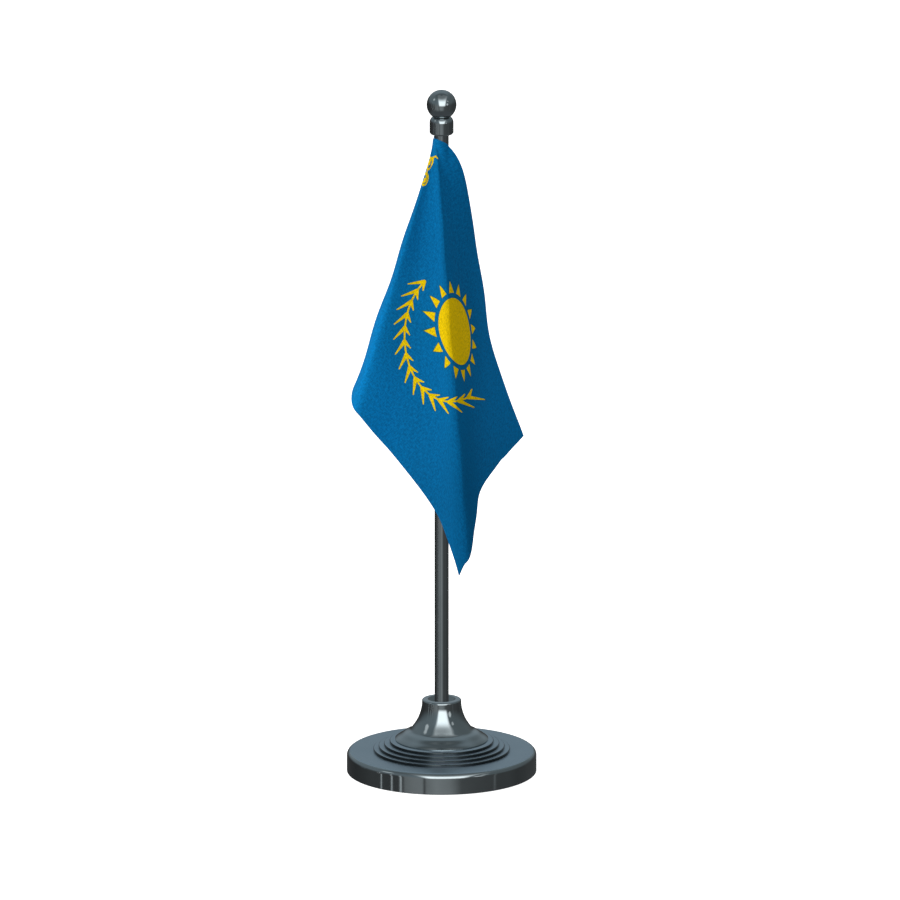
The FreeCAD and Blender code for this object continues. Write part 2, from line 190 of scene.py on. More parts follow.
def addSoftLight(name, light):
    data = bpy.data.lights.new(name, "AREA")
    data.shape = "SQUARE"
    data.size = light["size"]
    data.energy = light["power"]
    data.color = light["colour"]
    lamp = bpy.data.objects.new(name, data)
    scene.collection.objects.link(lamp)
    lamp.location = light["place"]
    lamp.rotation_euler = (Vector(lightAim) - Vector(light["place"])).to_track_quat("-Z", "Y").to_euler()
    lamp.visible_camera = False
    lamp.visible_glossy = False


# The room that reflections see: near the horizon its brightness changes with the compass direction, as grey
# walls, a pale doorway and thin bright posts do. Above it are a soft panel in front, an even blue-grey sky
# that is greyer at the sides, a darker zenith and a few small bright spots. Each pair gives the values of the
# direction's own axes, from -1 to 1, where a part starts and where it is full.
room = {
    # compass direction in degrees from the front, positive to the right, and the wall's grey level
    "walls": ((-180, 0.06), (-128, 0.06), (-105, 0.085), (-95, 0.10), (-79.2, 0.10), (-78.6, 1.3),
              (-77.8, 0.10), (-64.4, 0.09), (-63.6, 1.8), (-62.8, 0.10), (-52.2, 0.10), (-51.2, 2.4),
              (-50.2, 0.14), (-47, 0.14), (-46, 0.33), (-34, 0.40), (-23, 0.42), (-20.8, 0.07),
              (-18.8, 0.36), (-6, 0.50), (10, 0.42), (17, 0.30), (24, 0.16), (45, 0.14), (66, 0.12),
              (68, 0.30), (70, 0.11), (88, 0.115), (105, 0.09), (130, 0.10), (180, 0.06)),
    "wallTint": (0.96, 1.0, 1.02), "wallTop": (-0.08, 0.34),
    "sky": (0.375, 0.45, 0.50),
    "ground": (0.14, 0.15, 0.16), "groundRise": (-0.42, -0.75),
    "zenith": (0.165, 0.195, 0.21), "zenithRise": (0.5, 0.97), "zenithAhead": (-0.5, -0.15),
    "shade": (0.21, 0.245, 0.26), "shadeRise": (0.95, 0.6),
    "shadeRight": (0.1, 0.7), "shadeLeft": (-0.25, -0.7), "shadeLeftShare": 0.55,
    # small bright spots: compass direction, elevation, spread and glow
    "spots": ((46.0, 10.0, 0.012, 1.3), (-78.0, 36.0, 0.012, 1.0), (58.0, 30.0, 0.006, 0.8)),
    "spotCore": 0.3,
    # the panel's half width grows with height by its spread, and its glow fades toward the top
    "panelGlow": 3.2, "panelPlace": 0.08, "panelHalfWidth": 0.38, "panelSpread": 0.12,
    "panelEdge": (0.10, -0.10), "panelFoot": (-0.10, 0.12), "panelTop": (1.0, 0.985),
    "panelAhead": (-0.20, 0.05), "panelFade": (0.44, 0.92), "panelFadeShare": 0.92,
}
# The light that matt surfaces get: one dim colour, stronger from the left than from the right.
ambient = {"level": 0.40, "leftward": (0.75, -0.75), "gain": 0.8, "base": 0.6, "colour": (0.97, 0.99, 1.0)}


# The walls by compass direction, with the sky above them and the ground below.
def roomColour(tree, axes, front):
    compass = calc(tree, "ARCTAN2", axes["X"], front)
    share = calc(tree, "MULTIPLY_ADD", compass, 1.0 / (2 * math.pi), 0.5)
    ramp = addNode(tree, "ShaderNodeValToRGB", wires={"Fac": share})
    stops = ramp.color_ramp.elements
    while len(stops) > 1:
        stops.remove(stops[0])
    for place, (angle, grey) in enumerate(room["walls"]):
        where = angle / 360.0 + 0.5
        stop = stops[0] if place == 0 else stops.new(where)
        stop.position = where
        stop.color = (*(grey * tint for tint in room["wallTint"]), 1.0)
    overhead = calc(tree, "MULTIPLY", ease(tree, axes["Z"], *room["zenithRise"]),
                    ease(tree, front, *room["zenithAhead"]))
    upper = mixColour(tree, overhead, room["sky"], room["zenith"])
    leftShare = calc(tree, "MULTIPLY", ease(tree, axes["X"], *room["shadeLeft"]), room["shadeLeftShare"])
    sideways = calc(tree, "MAXIMUM", ease(tree, axes["X"], *room["shadeRight"]), leftShare)
    shady = calc(tree, "MULTIPLY", sideways, ease(tree, axes["Z"], *room["shadeRise"]))
    upper = mixColour(tree, shady, upper, room["shade"])
    walls = mixColour(tree, ease(tree, axes["Z"], *room["wallTop"]), ramp.outputs["Color"], upper)
    return mixColour(tree, ease(tree, axes["Z"], *room["groundRise"]), walls, room["ground"])


# The glow of the soft panel and of the small spots.
def roomGlow(tree, direction, axes, front):
    sideways = calc(tree, "ABSOLUTE", calc(tree, "SUBTRACT", axes["X"], room["panelPlace"]))
    halfWidth = calc(tree, "MULTIPLY_ADD", axes["Z"], room["panelSpread"], room["panelHalfWidth"])
    across = ease(tree, calc(tree, "SUBTRACT", sideways, halfWidth), *room["panelEdge"])
    upward = calc(tree, "MULTIPLY", ease(tree, axes["Z"], *room["panelFoot"]),
                  ease(tree, axes["Z"], *room["panelTop"]))
    fade = ease(tree, axes["Z"], *room["panelFade"])
    faded = calc(tree, "MULTIPLY_ADD", fade, -room["panelFadeShare"], 1.0)
    ahead = ease(tree, front, *room["panelAhead"])
    panel = calc(tree, "MULTIPLY", calc(tree, "MULTIPLY", across, upward),
                 calc(tree, "MULTIPLY", ahead, faded))
    glow = calc(tree, "MULTIPLY", panel, room["panelGlow"])
    for angle, rise, spread, power in room["spots"]:
        turn, lift = math.radians(angle), math.radians(rise)
        aim = (math.cos(lift) * math.sin(turn), -math.cos(lift) * math.cos(turn), math.sin(lift))
        facing = vectorCalc(tree, "DOT_PRODUCT", direction, aim)
        spot = ease(tree, facing, 1.0 - spread, 1.0 - room["spotCore"] * spread)
        glow = calc(tree, "MULTIPLY_ADD", spot, power, glow)
    return glow


# The world: the camera sees plain white, matt surfaces the ambient light and reflections the room.
def makeRoom():
    world = bpy.data.worlds.new("studioRoom")
    world.use_nodes = True
    scene.world = world
    tree = world.node_tree
    tree.nodes.clear()

    def pickShader(share, first, second):
        pick = addNode(tree, "ShaderNodeMixShader", wires={"Fac": share})
        tree.links.new(first.outputs[0], pick.inputs[1])
        tree.links.new(second.outputs[0], pick.inputs[2])
        return pick

    direction = addNode(tree, "ShaderNodeTexCoord").outputs["Generated"]
    axes = addNode(tree, "ShaderNodeSeparateXYZ", wires={"Vector": direction}).outputs
    front = calc(tree, "MULTIPLY", axes["Y"], -1.0)
    lit = addNode(tree, "ShaderNodeBackground", wires={"Color": roomColour(tree, axes, front)},
                  values={"Strength": 1.0})
    glowing = addNode(tree, "ShaderNodeBackground",
                      wires={"Strength": roomGlow(tree, direction, axes, front)})
    reflected = addNode(tree, "ShaderNodeAddShader")
    tree.links.new(lit.outputs[0], reflected.inputs[0])
    tree.links.new(glowing.outputs[0], reflected.inputs[1])
    left = ease(tree, axes["X"], *ambient["leftward"])
    level = calc(tree, "MULTIPLY", calc(tree, "MULTIPLY_ADD", left, ambient["gain"], ambient["base"]),
                 ambient["level"])
    dim = addNode(tree, "ShaderNodeBackground", wires={"Strength": level},
                  values={"Color": (*ambient["colour"], 1.0)})
    white = addNode(tree, "ShaderNodeBackground", values={"Color": (1.0, 1.0, 1.0, 1.0), "Strength": 1.0})
    path = addNode(tree, "ShaderNodeLightPath").outputs
    lighting = pickShader(path["Is Diffuse Ray"], reflected, dim)
    whole = pickShader(path["Is Camera Ray"], lighting, white)
    out = addNode(tree, "ShaderNodeOutputWorld")
    tree.links.new(whole.outputs[0], out.inputs["Surface"])


makeFloor(studioFloor)
for lightName, softLight in softLights.items():
    addSoftLight(lightName, softLight)
makeRoom()
scene.view_settings.view_transform = "Standard"
scene.view_settings.look = "None"
print("studio ready")

# The smudge is a slow cloud, as from handling; its share is how much of the gloss's change it makes.
grainLook = {"detail": 4.0, "roughness": 0.6, "smudgeScale": 60.0, "smudgeDetail": 3.0,
             "smudgeEase": (0.42, 0.66), "smudgeShare": 0.5}
# Painted shade darkens the colour between thread backs, by thread height; the slub mottling is two noises
# stretched along warp and weft.
weaveLook = {"shadeEase": (0.05, 0.7), "slubShort": 1.5, "slubLong": 0.55, "slubScale": 0.85,
             "slubDetail": 3.0, "slubRoughness": 0.65}


# Fine grain: Roughness varies from Low to High with a noise of the given scale and with the smudge, Height
# is the fine noise alone, and Smudge is the slow cloud from 0 to 1.
def fillGrain(tree, inputs):
    place = addNode(tree, "ShaderNodeTexCoord").outputs["Object"]
    fine = addNode(tree, "ShaderNodeTexNoise",
                   values={"Detail": grainLook["detail"], "Roughness": grainLook["roughness"]},
                   wires={"Vector": place, "Scale": inputs["Scale"]}).outputs["Fac"]
    slow = addNode(tree, "ShaderNodeTexNoise",
                   values={"Scale": grainLook["smudgeScale"], "Detail": grainLook["smudgeDetail"]},
                   wires={"Vector": place}).outputs["Fac"]
    smudge = ease(tree, slow, *grainLook["smudgeEase"])
    both = calc(tree, "MULTIPLY_ADD", smudge, grainLook["smudgeShare"],
                calc(tree, "MULTIPLY", fine, 1.0 - grainLook["smudgeShare"]))
    spread = calc(tree, "SUBTRACT", inputs["High"], inputs["Low"])
    rough = calc(tree, "MULTIPLY_ADD", both, spread, inputs["Low"])
    return {"Roughness": rough, "Height": fine, "Smudge": smudge}


# Plain weave on flat millimetres: warp and weft threads pass over and under one another. Height is the
# higher thread's round back, Shade is a painted shade, 1 on a thread's back and less between threads,
# Slub a soft mottling.
def fillWeave(tree, inputs):
    axes = addNode(tree, "ShaderNodeSeparateXYZ", wires={"Vector": inputs["Flat"]}).outputs
    along = calc(tree, "DIVIDE", axes["X"], inputs["Pitch"])
    down = calc(tree, "DIVIDE", axes["Y"], inputs["Pitch"])

    def wave(operation, count):
        return calc(tree, operation, calc(tree, "MULTIPLY", count, math.pi))

    def thread(across, lengthways, shift):
        back = calc(tree, "ABSOLUTE", wave("SINE", across))
        phase = calc(tree, "ADD", calc(tree, "ADD", lengthways, calc(tree, "FLOOR", across)), shift)
        over = calc(tree, "MULTIPLY_ADD", wave("COSINE", phase), 0.5, 0.5)
        return calc(tree, "MULTIPLY", back, over)

    def slubNoise(scaleX, scaleY):
        stretched = addNode(tree, "ShaderNodeMapping", values={"Scale": (scaleX, scaleY, 1.0)},
                            wires={"Vector": inputs["Flat"]}).outputs[0]
        return addNode(tree, "ShaderNodeTexNoise",
                       values={"Scale": weaveLook["slubScale"], "Detail": weaveLook["slubDetail"],
                               "Roughness": weaveLook["slubRoughness"]},
                       wires={"Vector": stretched}).outputs["Fac"]

    height = calc(tree, "MAXIMUM", thread(along, down, 0.0), thread(down, along, 1.0))
    noises = (slubNoise(weaveLook["slubLong"], weaveLook["slubShort"]),
              slubNoise(weaveLook["slubShort"], weaveLook["slubLong"]))
    slub = calc(tree, "MULTIPLY", calc(tree, "ADD", *noises), 0.5)
    return {"Height": height, "Shade": ease(tree, height, *weaveLook["shadeEase"]), "Slub": slub}


grainGroup = makeGroup(
    "fineGrain",
    (("Scale", "NodeSocketFloat", 900.0), ("Low", "NodeSocketFloat", 0.1), ("High", "NodeSocketFloat", 0.2)),
    (("Roughness", "NodeSocketFloat"), ("Height", "NodeSocketFloat"), ("Smudge", "NodeSocketFloat")),
    fillGrain)
weaveGroup = makeGroup(
    "plainWeave",
    (("Flat", "NodeSocketVector", None), ("Pitch", "NodeSocketFloat", 0.45)),
    (("Height", "NodeSocketFloat"), ("Shade", "NodeSocketFloat"), ("Slub", "NodeSocketFloat")),
    fillWeave)

# Hard finishes: a colour and how far a smudge darkens or lightens it, the metallic share, the roughness
# between two limits, the grain's scale and the strength of its relief.
darkChrome = {"colour": (0.30, 0.335, 0.345), "cloud": 0.94, "metal": 1.0, "low": 0.055, "high": 0.10,
              "grain": 700.0, "bump": 0.03}
finishes = {
    "dark_chrome": darkChrome,
    "dark_chrome_satin": darkChrome,
    "ballast_iron": {"colour": (0.16, 0.155, 0.15), "cloud": 0.7, "metal": 0.8, "low": 0.55, "high": 0.8,
                     "grain": 500.0, "bump": 0.8},
    "closing_plate": {"colour": (0.5, 0.51, 0.52), "cloud": 0.85, "metal": 1.0, "low": 0.28, "high": 0.42,
                      "grain": 1200.0, "bump": 0.2},
    "foam_pad": {"colour": (0.03, 0.03, 0.032), "cloud": 1.5, "metal": 0.0, "low": 0.85, "high": 0.98,
                 "grain": 1600.0, "bump": 0.9},
    "black_rubber": {"colour": (0.022, 0.022, 0.023), "cloud": 1.4, "metal": 0.0, "low": 0.5, "high": 0.7,
                     "grain": 1500.0, "bump": 0.3},
    "zinc_steel": {"colour": (0.58, 0.59, 0.6), "cloud": 0.85, "metal": 1.0, "low": 0.22, "high": 0.4,
                   "grain": 1300.0, "bump": 0.25},
    "black_nylon": {"colour": (0.025, 0.026, 0.027), "cloud": 1.3, "metal": 0.0, "low": 0.38, "high": 0.52,
                    "grain": 1100.0, "bump": 0.25},
}
grainDepth = 0.00002
# The deck: pairs are the upward share of the face's normal where the finish starts and is full, and the
# radius in metres within which painted shade darkens the steps' risers toward a dark colour.
deck = {"colour": (0.33, 0.405, 0.455), "low": 0.36, "high": 0.46, "grain": 2200.0, "tilt": (0.88, 0.94),
        "riserShade": (0.05, 0.058, 0.062), "riserTilt": (0.93, 0.8), "riserRadius": (0.041, 0.040)}


# A hard finish: a colour clouded a little by handling, a grain in its gloss and a fine bump.
def hardFinish(name, finish):
    material, shader = newMaterial(name)
    tree = material.node_tree
    grain = addGroup(tree, grainGroup,
                     {"Scale": finish["grain"], "Low": finish["low"], "High": finish["high"]})
    clouded = tuple(channel * finish["cloud"] for channel in finish["colour"])
    colour = mixColour(tree, grain["Smudge"], finish["colour"], clouded)
    tree.links.new(colour, shader.inputs["Base Color"])
    tree.links.new(grain["Roughness"], shader.inputs["Roughness"])
    shader.inputs["Metallic"].default_value = finish["metal"]
    bump = addNode(tree, "ShaderNodeBump", values={"Strength": finish["bump"], "Distance": grainDepth},
                   wires={"Height": grain["Height"]})
    tree.links.new(bump.outputs[0], shader.inputs["Normal"])
    return material


# The foot's flat deck and treads are satin and bluer than its polished rim and step noses: the share of
# satin grows with the face's upward tilt, above the rim's rounding. The steps' risers get painted shade.
def satinDeck(material, deck):
    tree = material.node_tree
    shader = tree.nodes["Principled BSDF"]
    normal = addNode(tree, "ShaderNodeNewGeometry").outputs["Normal"]
    tilt = addNode(tree, "ShaderNodeSeparateXYZ", wires={"Vector": normal}).outputs["Z"]
    satin = ease(tree, tilt, *deck["tilt"])
    finer = addGroup(tree, grainGroup, {"Scale": deck["grain"], "Low": deck["low"], "High": deck["high"]})
    polish = shader.inputs["Roughness"].links[0].from_socket
    gloss = addNode(tree, "ShaderNodeMix", wires={"Factor": satin})
    tree.links.new(polish, gloss.inputs[2])
    tree.links.new(finer["Roughness"], gloss.inputs[3])
    tree.links.new(gloss.outputs[0], shader.inputs["Roughness"])
    plain = shader.inputs["Base Color"].links[0].from_socket
    place = addNode(tree, "ShaderNodeTexCoord").outputs["Object"]
    level = vectorCalc(tree, "MULTIPLY", place, (1.0, 1.0, 0.0))
    radius = vectorCalc(tree, "DISTANCE", level, (0.0, 0.0, 0.0))
    # painted shade: steep faces within the radius, the steps' risers, are darkened toward a dark colour
    riserShade = calc(tree, "MULTIPLY", ease(tree, tilt, *deck["riserTilt"]),
                 ease(tree, radius, *deck["riserRadius"]))
    shaded = mixColour(tree, riserShade, plain, deck["riserShade"])
    tree.links.new(mixColour(tree, satin, shaded, deck["colour"]), shader.inputs["Base Color"])


slotMaterials = {}
for slotName, finish in finishes.items():
    slotMaterials[slotName] = hardFinish(slotName, finish)
satinDeck(slotMaterials["dark_chrome_satin"], deck)
print("hard finishes:", len(slotMaterials))

# The printed cloth, in millimetres and degrees. An angle of the cloth is measured at its top corner, from
# the hoist; an angle round the pole is measured from the front.
cloth = {
    "hoist": 138.0, "fly": 207.0, "thickness": 0.25, "hem": 1.8, "hemExtra": 0.12,
    # the folds in plan at one depth below the corner, and how far their bends are softened
    "foldDepth": 140.0,
    "foldPlan": ((0, 0), (-13, 16), (-33, 21), (-45, 6.5), (-41.5, -11), (-20, -4), (1, -14),
                 (10.5, -33), (15.5, 3), (24, 22), (27.5, 27), (36, 40.5)),
    "foldSteps": 24, "foldSoftness": 2,
    # how the cloth starts round the pole, clings to it and passes round its front at the top edge
    "seamAngle": -100.0, "foldLap": 38.0, "wrapAngle": 9.0, "startRadius": 4.7, "topGap": 0.5,
    "belowCollar": 0.6, "clingLength": 8.0, "wrapLength": 18.0, "wrapDrop": 7.0,
    # the top edge swells to the right near the pole and dips back further along
    "edgeSwell": 8.5, "edgeSwellAt": 28.0, "edgeDip": 4.0, "edgeDipAt": 150.0, "edgeDipWidth": 40.0,
    # angles of the cloth over which each of these comes in or goes out; the lap's count from the fold
    "clingStart": (0.0, 18.0), "clingEnd": (32.0, 50.0), "wrapStart": (35.0, 90.0),
    "sweepStart": (35.0, 95.0), "swellStart": (62.0, 90.0), "lapStart": (-10.0, 3.0),
    # rays from the corner and rows across them; the last rows, in hem widths from the edge, shape the hem
    "rays": 236, "rows": 168, "firstRow": 0.012, "hemLead": 1.25, "hemRows": (1.0, 0.9, 0.5, 0.12, 0.0),
    "hemRise": (1.02, 0.95), "topHemFall": (0.9, 1.3), "plainReach": 4.0,
    # ripples: height, length across, length down and phase; they come in over this stretch of the reach
    "ripples": ((0.30, 8.1, 13.0, 0.4), (0.22, -17.0, 6.3, 1.3)), "calmEnd": (15.0, 90.0),
    # the bell curve of the shading normals, as a share of the reach, and where they start past the fold
    "shadeSoftness": 0.036, "shadeReach": 8.0, "shadeStart": (3.0, 10.0),
}
# Millimetres in one unit of the flat UV map and of the front one.
flatSpan = 210.0
frontSpan = 400.0


# A smooth 0-to-1 step of an array as its values go from start to end.
def smooth(value, start, end):
    share = np.clip((value - start) / (end - start), 0.0, 1.0)
    return share * share * (3.0 - 2.0 * share)


# Where each ray of the cloth points as it leaves the top corner: a smooth curve (Catmull-Rom) through the
# plan of the folds at one depth below, its bends softened by a running mean, and its angles scaled so that
# the whole cloth is a right angle.
def foldRays(cloth):
    plan = np.array(cloth["foldPlan"], float)
    plan = np.vstack([2 * plan[0] - plan[1], plan, 2 * plan[-1] - plan[-2]])
    step = np.linspace(0, 1, cloth["foldSteps"], endpoint=False)[None, :, None]
    before, start, end, after = (plan[k:len(plan) - 3 + k, None, :] for k in range(4))
    curve = 0.5 * (2 * start + (end - before) * step
                   + (2 * before - 5 * start + 4 * end - after) * step ** 2
                   + (3 * start - before - 3 * end + after) * step ** 3)
    curve = np.vstack([curve.reshape(-1, 2), plan[-2]])
    reach = cloth["foldSoftness"]
    window = np.hanning(2 * reach + 3)[1:-1]
    padded = np.vstack([2 * curve[0] - curve[reach:0:-1], curve, 2 * curve[-1] - curve[-2:-reach - 2:-1]])
    curve = np.stack([np.convolve(padded[:, k], window / window.sum(), "valid") for k in range(2)], -1)
    rays = np.column_stack([curve, np.full(len(curve), -cloth["foldDepth"])])
    rays /= np.linalg.norm(rays, axis=1, keepdims=True)
    turned = np.arccos(np.clip((rays[1:] * rays[:-1]).sum(1), -1, 1))
    angles = np.concatenate([[0.0], np.cumsum(turned)])
    return angles * 90.0 / angles[-1], rays


foldAngles, foldDirections = foldRays(cloth)
# the angle of the cloth at which it turns to the front, at its leftmost fold
foldTurn = float(foldAngles[np.argmin(foldDirections[:, 0] / -foldDirections[:, 2])])
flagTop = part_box("collar")[0].z / mm - cloth["belowCollar"]
frontTilt = math.tan(math.radians(shot["elevation"]))

# The print, in millimetres. The sun lies where its place and two leaning half axes put it as seen from in
# front, the scroll band on the flat cloth. Pairs are where an ink edge starts and ends.
printSheet = {
    "blue": (0.002, 0.142, 0.36), "yellow": (0.84, 0.57, 0.003), "edge": (0.015, 0.13, 0.05),
    "edgeInk": (0.0, 0.5), "fullInk": (0.45, 0.9),
    # the bend draws out the rays on the left, and stops where the print would fold back on itself
    "sunPlace": (7.2, 254.9), "sunAcross": (8.85, -2.88), "sunDown": (1.12, -19.0),
    "sunBend": 0.17, "sunBendStop": -2.9,
    # the disc and its rays, as shares of the disc's radius
    "discEdge": (1.03, 0.98), "rayCount": 16, "rayStart": 1.15, "rayEnd": 1.5, "rayFoot": 0.015,
    "rayWidth": 0.66, "rayEdge": (-0.16, 0.10), "strokeEdge": (-0.38, 0.10), "foldEdge": 1.0,
    # a wave down the hoist with a ring and a dot on either side of it
    "scrollPlace": 10.0, "scrollSwing": 3.5, "scrollPitch": 17.0, "waveEdge": (1.1, 0.7),
    "ringPlace": 2.2, "ringShift": 0.25, "ringRadius": 3.3, "ringEdge": (0.9, 0.5), "dotEdge": (1.1, 0.8),
    "bandAcross": ((3.0, 4.0), (22.0, 21.0)), "bandDown": ((7.0, 8.0), (135.0, 134.0)),
}
# A plain leafy branch bent round the sun: its stem follows part of an ellipse, and at each knot one leaf
# points outward and a shorter one inward, both leaning along the stem. Sizes in mm and degrees.
branch = {
    "middle": (-2.0, -3.0), "radii": (26.0, 38.0), "start": 125.0, "end": 292.0, "knots": 15,
    "outerLeaf": 9.0, "innerLeaf": 5.0, "lean": 38.0, "leafHalf": 1.05, "leafTip": 0.2, "stemHalf": 0.4,
}


# The branch's strokes from the sun's middle: one end, the other end, and the half width at each.
def branchStrokes(branch):
    turns = np.radians(np.linspace(branch["start"], branch["end"], branch["knots"]))
    across, up = branch["radii"]
    knots = np.stack([across * np.cos(turns), up * np.sin(turns)], -1) + branch["middle"]
    along = np.stack([-across * np.sin(turns), up * np.cos(turns)], -1)
    along /= np.linalg.norm(along, axis=1, keepdims=True)
    outward = np.stack([along[:, 1], -along[:, 0]], -1)
    lean = math.radians(branch["lean"])
    stem = branch["stemHalf"]
    strokes = [(*knot, *nextKnot, stem, stem) for knot, nextKnot in zip(knots, knots[1:])]
    for side, reach in ((1.0, branch["outerLeaf"]), (-1.0, branch["innerLeaf"])):
        tips = knots + reach * (math.cos(lean) * along + side * math.sin(lean) * outward)
        strokes += [(*knot, *tip, branch["leafHalf"], branch["leafTip"]) for knot, tip in zip(knots, tips)]
    return strokes


def times(tree, *shares):
    product = shares[0]
    for share in shares[1:]:
        product = calc(tree, "MULTIPLY", product, share)
    return product


def length(tree, first, second):
    squares = calc(tree, "MULTIPLY_ADD", first, first, calc(tree, "MULTIPLY", second, second))
    return calc(tree, "SQRT", squares)


# A disc with tapered rays, in the sun's own leaning and bent axes.
def sunInk(tree, fromSun):
    (acrossX, acrossY), (downX, downY) = printSheet["sunAcross"], printSheet["sunDown"]
    area = acrossX * downY - downX * acrossY

    def blend(first, second):
        return calc(tree, "MULTIPLY_ADD", fromSun["X"], first / area,
                    calc(tree, "MULTIPLY", fromSun["Y"], second / area))

    straight = calc(tree, "MAXIMUM", blend(downY, -downX), printSheet["sunBendStop"])
    drop = blend(-acrossY, acrossX)
    bend = calc(tree, "MULTIPLY_ADD", straight, straight, -1.0)
    across = calc(tree, "MULTIPLY_ADD", bend, printSheet["sunBend"], straight)
    reach = length(tree, across, drop)
    turn = calc(tree, "ARCTAN2", drop, across)
    disc = ease(tree, reach, *printSheet["discEdge"])
    comb = calc(tree, "FRACT", calc(tree, "MULTIPLY", turn, printSheet["rayCount"] / (2 * math.pi)))
    offCentre = calc(tree, "MULTIPLY", calc(tree, "ABSOLUTE", calc(tree, "SUBTRACT", comb, 0.5)), 2.0)
    taper = printSheet["rayWidth"] / (printSheet["rayEnd"] - printSheet["rayStart"])
    width = calc(tree, "MULTIPLY", calc(tree, "SUBTRACT", printSheet["rayEnd"], reach), taper)
    start, foot = printSheet["rayStart"], printSheet["rayFoot"]
    rays = times(tree, ease(tree, calc(tree, "SUBTRACT", width, offCentre), *printSheet["rayEdge"]),
                 ease(tree, reach, start - foot, start + foot))
    return calc(tree, "MAXIMUM", disc, rays)


# One tapered stroke: ink where the distance to its middle line is less than its half width there.
def strokeInk(tree, local, stroke):
    startX, startY, endX, endY, startHalf, endHalf = stroke
    step = Vector((endX - startX, endY - startY, 0.0))
    toPoint = vectorCalc(tree, "SUBTRACT", local, (startX, startY, 0.0))
    share = vectorCalc(tree, "DOT_PRODUCT", toPoint, tuple(step / step.length_squared))
    held = addNode(tree, "ShaderNodeClamp", wires={"Value": share}).outputs[0]
    nearest = addNode(tree, "ShaderNodeVectorMath", {"operation": "SCALE"}, {0: tuple(step)},
                      {"Scale": held}).outputs[0]
    away = vectorCalc(tree, "DISTANCE", toPoint, nearest)
    half = calc(tree, "MULTIPLY_ADD", held, endHalf - startHalf, startHalf)
    return ease(tree, calc(tree, "SUBTRACT", half, away), *printSheet["strokeEdge"])


# The band down the hoist: a wave, and on either side of it a ring round a dot in each pitch.
def scrollInk(tree, axes):
    pitch = printSheet["scrollPitch"]
    wave = calc(tree, "SINE", calc(tree, "MULTIPLY", axes["Y"], 2 * math.pi / pitch))
    swing = calc(tree, "MULTIPLY_ADD", wave, printSheet["scrollSwing"], printSheet["scrollPlace"])
    fromWave = calc(tree, "ABSOLUTE", calc(tree, "SUBTRACT", axes["X"], swing))
    scroll = ease(tree, fromWave, *printSheet["waveEdge"])
    for side in (1.0, -1.0):
        shift = side * printSheet["ringShift"]
        cell = calc(tree, "FRACT", calc(tree, "MULTIPLY_ADD", axes["Y"], 1.0 / pitch, shift))
        lengthways = calc(tree, "MULTIPLY", calc(tree, "SUBTRACT", cell, 0.5), pitch)
        ringPlace = printSheet["scrollPlace"] + side * printSheet["ringPlace"]
        sideways = calc(tree, "SUBTRACT", axes["X"], ringPlace)
        radius = length(tree, sideways, lengthways)
        fromRing = calc(tree, "ABSOLUTE", calc(tree, "SUBTRACT", radius, printSheet["ringRadius"]))
        scroll = calc(tree, "MAXIMUM", scroll, ease(tree, fromRing, *printSheet["ringEdge"]))
        scroll = calc(tree, "MAXIMUM", scroll, ease(tree, radius, *printSheet["dotEdge"]))
    limits = [ease(tree, axes["X"], *edge) for edge in printSheet["bandAcross"]]
    limits += [ease(tree, axes["Y"], *edge) for edge in printSheet["bandDown"]]
    return times(tree, scroll, *limits)


# The print's ink. Front is the place as seen from in front, x and height in millimetres, and carries the sun
# and the branch, past the fold where the cloth turns to the front. Flat is the place on the flat cloth and
# carries the scroll band.
def fillPrint(tree, inputs):
    axes = addNode(tree, "ShaderNodeSeparateXYZ", wires={"Vector": inputs["Flat"]}).outputs
    local = vectorCalc(tree, "SUBTRACT", inputs["Front"], (*printSheet["sunPlace"], 0.0))
    fromSun = addNode(tree, "ShaderNodeSeparateXYZ", wires={"Vector": local}).outputs
    ink = sunInk(tree, fromSun)
    for stroke in branchStrokes(branch):
        ink = calc(tree, "MAXIMUM", ink, strokeInk(tree, local, stroke))
    angle = calc(tree, "MULTIPLY", calc(tree, "ARCTAN2", axes["X"], axes["Y"]), 180.0 / math.pi)
    ink = times(tree, ink, ease(tree, angle, foldTurn - printSheet["foldEdge"], foldTurn))
    return {"Ink": calc(tree, "MAXIMUM", ink, scrollInk(tree, axes))}


printGroup = makeGroup("flagPrint", (("Flat", "NodeSocketVector", None), ("Front", "NodeSocketVector", None)),
                       (("Ink", "NodeSocketFloat"),), fillPrint)

# The cloth's finish: each gain and base turn a mask into a factor of the colour, the gloss or the relief.
clothLook = {
    "mottleEase": (0.38, 0.62), "mottleGain": 0.42, "mottleBase": 0.72,
    "threadShadeGain": 0.16, "threadShadeBase": 0.90,
    "roughGain": 0.2, "roughBase": 0.62, "specular": 0.03,
    "slubHeight": 1.6, "threadHeight": 0.5, "bumpDepth": 0.00022,
    # light painted into the colour: the front place's axis, where the change starts and ends, and its size
    "paintedLight": (("X", -12.0, -42.0, 0.40), ("X", 14.0, 28.0, 0.22), ("Y", 225.0, 145.0, -0.22)),
}


# A place in millimetres from one of the cloth's UV maps.
def clothPlace(tree, layer, span):
    uv = addNode(tree, "ShaderNodeUVMap", {"uv_map": layer}).outputs["UV"]
    return addNode(tree, "ShaderNodeMapping", values={"Scale": (span, span, 1.0)},
                   wires={"Vector": uv}).outputs[0]
